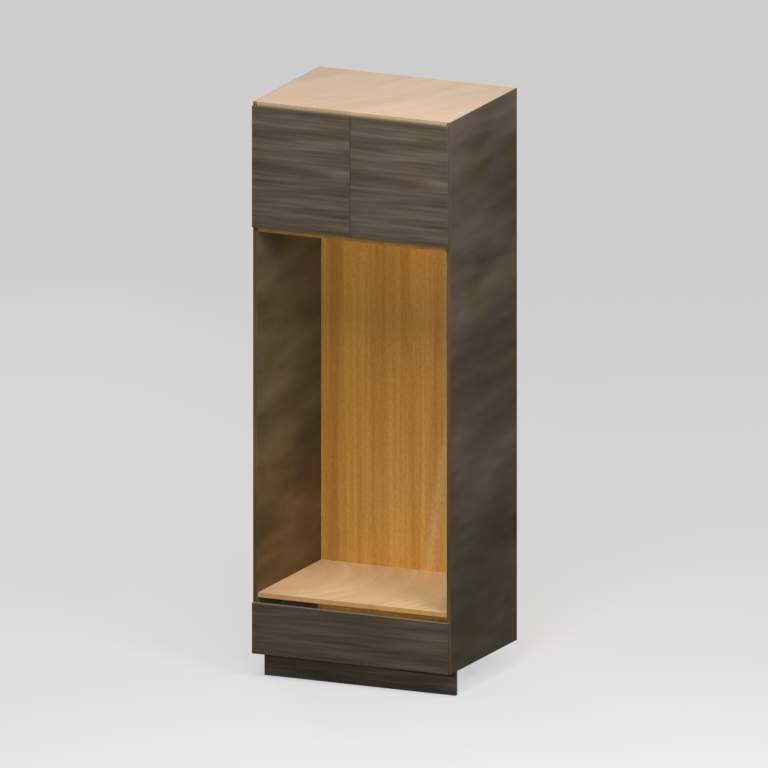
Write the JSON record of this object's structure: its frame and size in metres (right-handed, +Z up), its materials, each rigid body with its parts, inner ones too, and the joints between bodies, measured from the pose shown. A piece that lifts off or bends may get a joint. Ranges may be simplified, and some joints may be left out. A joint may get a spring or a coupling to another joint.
{
  "type": "open-front pantry cabinet",
  "caption": "Tall kitchen cabinet with two handleless doors above an open niche, a wide handleless drawer below it and a recessed plinth.",
  "frame": {"origin": "on the floor, in the middle of the plan with doors and drawer front included", "axes": "+Z up, fronts face -Y, +X to the right seen from the front"},
  "size_m": [0.838, 0.635, 2.297],
  "materials": {
    "side_laminate": "dark grey-brown wood-grain laminate, matt",
    "front_laminate": "grey-brown wood-grain laminate, matt, grain across",
    "plinth_laminate": "dark laminate, matt",
    "light_wood": "light oak laminate, satin",
    "back_wood": "golden oak panel, upright grain",
    "beech": "plain beech",
    "zinc": "die-cast, nickel plated",
    "steel": "zinc plated",
    "dark_steel": "anthracite powder coat",
    "black_plastic": "moulded, fine texture",
    "clear_rubber": "translucent soft buffer"
  },
  "bodies": {
    "carcass": {"side_left": "side_laminate", "side_right": "side_laminate", "top_panel": "light_wood", "bottom_panel": "light_wood", "upper_deck": "light_wood", "niche_floor": "light_wood", "back_panel": "back_wood", "cam_housings": "zinc", "cam_bolts": "steel", "dowels": "beech", "leg_sockets": "black_plastic", "leg_feet": "black_plastic", "leg_screws": "steel", "plinth_board": "plinth_laminate", "plinth_clips": "black_plastic", "wall_brackets": "steel", "bracket_screws": "steel", "hinge_plates_left": "zinc", "hinge_plates_right": "zinc", "hinge_arms_left": "steel", "hinge_arms_right": "steel", "hinge_screws_left": "steel", "hinge_screws_right": "steel", "runner_rail_left": "steel", "runner_rail_right": "steel", "runner_screws": "steel"},
    "left_door": {"door_left": "front_laminate", "hinge_cups_left": "steel", "hinge_pins_left": "steel", "cup_screws_left": "steel", "door_buffer_left": "clear_rubber"},
    "right_door": {"door_right": "front_laminate", "hinge_cups_right": "steel", "hinge_pins_right": "steel", "cup_screws_right": "steel", "door_buffer_right": "clear_rubber"},
    "drawer": {"drawer_front": "front_laminate", "drawer_bottom": "light_wood", "drawer_back": "light_wood", "drawer_side_left": "dark_steel", "drawer_side_right": "dark_steel", "front_brackets": "dark_steel", "rear_brackets": "dark_steel", "drawer_screws": "steel", "drawer_buffers": "clear_rubber", "runner_slide_left": "steel", "runner_slide_right": "steel"},
    "left_middle_member": {"runner_middle_left": "steel"},
    "left_outer_cage": {"outer_cage_left": "steel"},
    "left_inner_cage": {"inner_cage_left": "steel"},
    "right_middle_member": {"runner_middle_right": "steel"},
    "right_outer_cage": {"outer_cage_right": "steel"},
    "right_inner_cage": {"inner_cage_right": "steel"}
  },
  "joints": [
    {"name": "left_door_hinge", "type": "hinge", "parent": "carcass", "child": "left_door", "pos_m": [-0.40983, -0.3115, 2.04175], "axis": [0, 0, -1], "range_deg": [0, 100]},
    {"name": "right_door_hinge", "type": "hinge", "parent": "carcass", "child": "right_door", "pos_m": [0.40983, -0.3115, 2.04175], "axis": [0, 0, 1], "range_deg": [0, 100]},
    {"name": "drawer_slide", "type": "slide", "parent": "carcass", "child": "drawer", "axis": [0, -1, 0], "range_m": [0, 0.48]},
    {"name": "left_middle_member_slide", "type": "slide", "parent": "carcass", "child": "left_middle_member", "axis": [0, -1, 0], "range_m": [0, 0.24]},
    {"name": "left_outer_cage_slide", "type": "slide", "parent": "carcass", "child": "left_outer_cage", "axis": [0, -1, 0], "range_m": [0, 0.12]},
    {"name": "left_inner_cage_slide", "type": "slide", "parent": "carcass", "child": "left_inner_cage", "axis": [0, -1, 0], "range_m": [0, 0.36]},
    {"name": "right_middle_member_slide", "type": "slide", "parent": "carcass", "child": "right_middle_member", "axis": [0, -1, 0], "range_m": [0, 0.24]},
    {"name": "right_outer_cage_slide", "type": "slide", "parent": "carcass", "child": "right_outer_cage", "axis": [0, -1, 0], "range_m": [0, 0.12]},
    {"name": "right_inner_cage_slide", "type": "slide", "parent": "carcass", "child": "right_inner_cage", "axis": [0, -1, 0], "range_m": [0, 0.36]}
  ],
  "couplings": [
    {"joint": "left_middle_member_slide", "follows": "drawer_slide", "ratio": 0.5},
    {"joint": "left_outer_cage_slide", "follows": "drawer_slide", "ratio": 0.25},
    {"joint": "left_inner_cage_slide", "follows": "drawer_slide", "ratio": 0.75},
    {"joint": "right_middle_member_slide", "follows": "drawer_slide", "ratio": 0.5},
    {"joint": "right_outer_cage_slide", "follows": "drawer_slide", "ratio": 0.25},
    {"joint": "right_inner_cage_slide", "follows": "drawer_slide", "ratio": 0.75}
  ]
}
